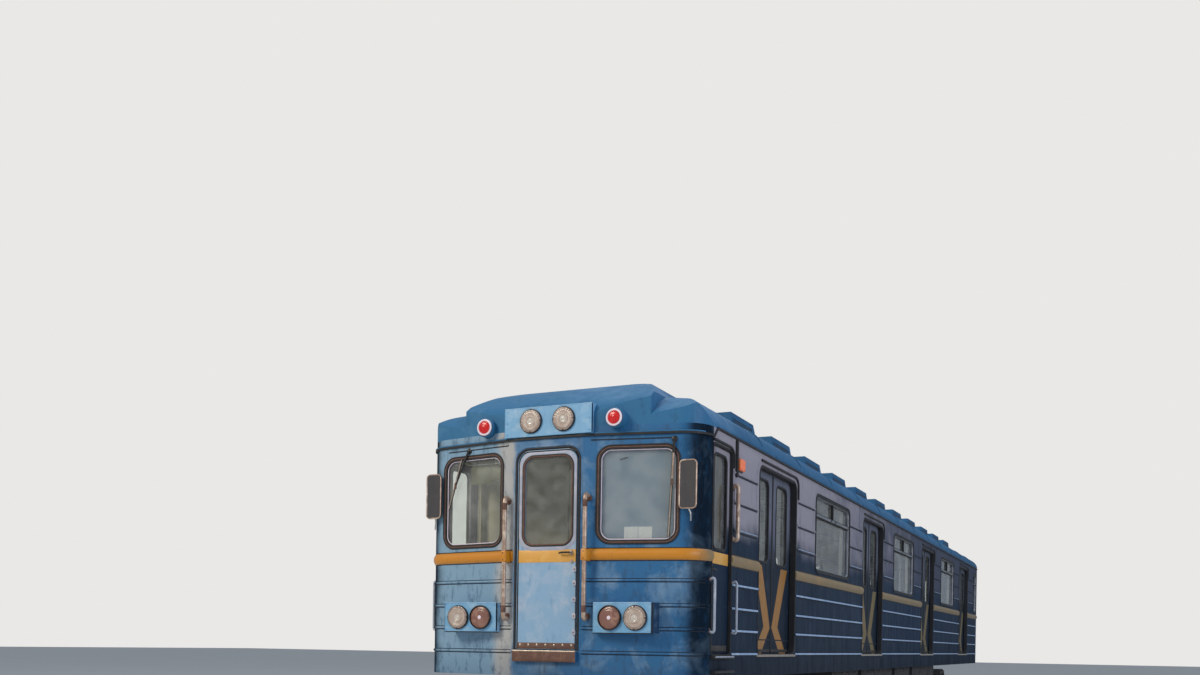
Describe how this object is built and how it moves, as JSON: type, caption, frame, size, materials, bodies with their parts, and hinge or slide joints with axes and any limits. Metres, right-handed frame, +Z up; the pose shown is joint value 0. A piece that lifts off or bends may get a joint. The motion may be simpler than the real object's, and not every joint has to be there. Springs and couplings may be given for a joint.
{
  "type": "metro car",
  "caption": "Metro motor car with a driver's cab at one end, sliding passenger doors, two powered bogies and end couplers.",
  "frame": {"origin": "centre of the car's length and width, at the lowest point of the wheel flanges; rail level is 28 mm above it", "axes": "+X to the car's left, +Y towards the plain end (the cab faces -Y), +Z up"},
  "size_m": [2.86, 19.21, 3.6779],
  "materials": {
    "body_blue": "weathered gloss enamel",
    "roof_blue": "weathered satin enamel",
    "stripe_ochre": "weathered gloss enamel",
    "rubber_black": "matt",
    "window_glass": "clear",
    "chrome_rail": "bright",
    "lamp_cream": "ribbed lens in a bronze rim",
    "lamp_red": "gloss lens",
    "lamp_orange": "gloss lens",
    "underbody_grey": "dusty matt",
    "bogie_grey": "dusty matt",
    "wheel_steel": "rolled tread, rusty web",
    "spring_steel": "dusty matt",
    "collector_timber": "oiled",
    "seat_brown": "worn leatherette",
    "lining_cream": "laminate",
    "desk_grey": "satin",
    "wiper_black": "matt"
  },
  "bodies": {
    "carbody": {"underframe": "underbody_grey", "front_mask": "body_blue", "rear_wall": "body_blue", "side_wall_left": "body_blue", "side_wall_right": "body_blue", "roof": "roof_blue", "bulkhead": "lining_cream", "gutters": "body_blue", "belt_moulding": "stripe_ochre", "saloon_seats": "seat_brown", "grab_rails": "chrome_rail", "body_glass": "window_glass", "window_rubbers": "rubber_black", "lamp_boxes": "body_blue", "headlamps": "lamp_cream", "marker_lamps": "lamp_red", "handrails": "chrome_rail", "mirrors": "chrome_rail", "wipers": "wiper_black", "cab_fittings": "desk_grey", "repeater_lamps": "lamp_orange", "equipment_boxes": "underbody_grey", "air_tanks": "underbody_grey"},
    "leaves_left_front": {"leaves_left_front": "body_blue", "leaf_glass_left_front": "window_glass"},
    "leaves_left_rear": {"leaves_left_rear": "body_blue", "leaf_glass_left_rear": "window_glass"},
    "leaves_right_front": {"leaves_right_front": "body_blue", "leaf_glass_right_front": "window_glass"},
    "leaves_right_rear": {"leaves_right_rear": "body_blue", "leaf_glass_right_rear": "window_glass"},
    "front_door": {"front_door": "body_blue", "front_door_glass": "window_glass"},
    "rear_door": {"rear_door": "body_blue", "rear_door_glass": "window_glass"},
    "cab_door_left": {"cab_door_left": "body_blue", "cab_door_left_glass": "window_glass"},
    "cab_door_right": {"cab_door_right": "body_blue", "cab_door_right_glass": "window_glass"},
    "bulkhead_door": {"bulkhead_door": "lining_cream"},
    "bogie_front": {"bogie_frame_front": "bogie_grey", "bolster_front": "bogie_grey", "springs_front": "spring_steel", "motors_front": "underbody_grey", "collectors_front": "collector_timber"},
    "wheelset_front_1": {"wheelset_front_1": "wheel_steel"},
    "wheelset_front_2": {"wheelset_front_2": "wheel_steel"},
    "coupler_front": {"coupler_front": "bogie_grey"},
    "bogie_rear": {"bogie_frame_rear": "bogie_grey", "bolster_rear": "bogie_grey", "springs_rear": "spring_steel", "motors_rear": "underbody_grey", "collectors_rear": "collector_timber"},
    "wheelset_rear_1": {"wheelset_rear_1": "wheel_steel"},
    "wheelset_rear_2": {"wheelset_rear_2": "wheel_steel"},
    "coupler_rear": {"coupler_rear": "bogie_grey"}
  },
  "joints": [
    {"name": "slide_left_front", "type": "slide", "parent": "carbody", "child": "leaves_left_front", "axis": [0, -1, 0], "range_m": [0, 0.62]},
    {"name": "slide_left_rear", "type": "slide", "parent": "carbody", "child": "leaves_left_rear", "axis": [0, 1, 0], "range_m": [0, 0.62]},
    {"name": "slide_right_front", "type": "slide", "parent": "carbody", "child": "leaves_right_front", "axis": [0, -1, 0], "range_m": [0, 0.62]},
    {"name": "slide_right_rear", "type": "slide", "parent": "carbody", "child": "leaves_right_rear", "axis": [0, 1, 0], "range_m": [0, 0.62]},
    {"name": "front_door_hinge", "type": "hinge", "parent": "carbody", "child": "front_door", "pos_m": [-0.286, -9.328, 1.628], "axis": [0, 0, 1], "range_deg": [0, 85]},
    {"name": "rear_door_hinge", "type": "hinge", "parent": "carbody", "child": "rear_door", "pos_m": [0.286, 9.328, 1.628], "axis": [0, 0, 1], "range_deg": [0, 85]},
    {"name": "bulkhead_door_hinge", "type": "hinge", "parent": "carbody", "child": "bulkhead_door", "pos_m": [-0.286, -8.318, 1.628], "axis": [0, 0, 1], "range_deg": [0, 85]},
    {"name": "cab_door_right_hinge", "type": "hinge", "parent": "carbody", "child": "cab_door_right", "pos_m": [-1.273, -8.469, 1.628], "axis": [0, 0, 1], "range_deg": [0, 85]},
    {"name": "cab_door_left_hinge", "type": "hinge", "parent": "carbody", "child": "cab_door_left", "pos_m": [1.273, -8.469, 1.628], "axis": [0, 0, -1], "range_deg": [0, 85]},
    {"name": "bogie_front_swivel", "type": "hinge", "parent": "carbody", "child": "bogie_front", "pos_m": [0, -6.3, 0.918], "axis": [0, 0, 1], "range_deg": [-5, 5]},
    {"name": "wheelset_front_1_spin", "type": "hinge", "parent": "bogie_front", "child": "wheelset_front_1", "pos_m": [0, -7.35, 0.418], "axis": [1, 0, 0], "continuous": true},
    {"name": "wheelset_front_2_spin", "type": "hinge", "parent": "bogie_front", "child": "wheelset_front_2", "pos_m": [0, -5.25, 0.418], "axis": [1, 0, 0], "continuous": true},
    {"name": "coupler_front_swing", "type": "hinge", "parent": "carbody", "child": "coupler_front", "pos_m": [0, -8.285, 0.89], "axis": [0, 0, 1], "range_deg": [-10, 10]},
    {"name": "bogie_rear_swivel", "type": "hinge", "parent": "carbody", "child": "bogie_rear", "pos_m": [0, 6.3, 0.918], "axis": [0, 0, 1], "range_deg": [-5, 5]},
    {"name": "wheelset_rear_1_spin", "type": "hinge", "parent": "bogie_rear", "child": "wheelset_rear_1", "pos_m": [0, 5.25, 0.418], "axis": [1, 0, 0], "continuous": true},
    {"name": "wheelset_rear_2_spin", "type": "hinge", "parent": "bogie_rear", "child": "wheelset_rear_2", "pos_m": [0, 7.35, 0.418], "axis": [1, 0, 0], "continuous": true},
    {"name": "coupler_rear_swing", "type": "hinge", "parent": "carbody", "child": "coupler_rear", "pos_m": [0, 8.285, 0.89], "axis": [0, 0, 1], "range_deg": [-10, 10]}
  ],
  "couplings": [
    {"joint": "slide_left_rear", "follows": "slide_left_front", "ratio": 1},
    {"joint": "slide_right_rear", "follows": "slide_right_front", "ratio": 1}
  ]
}
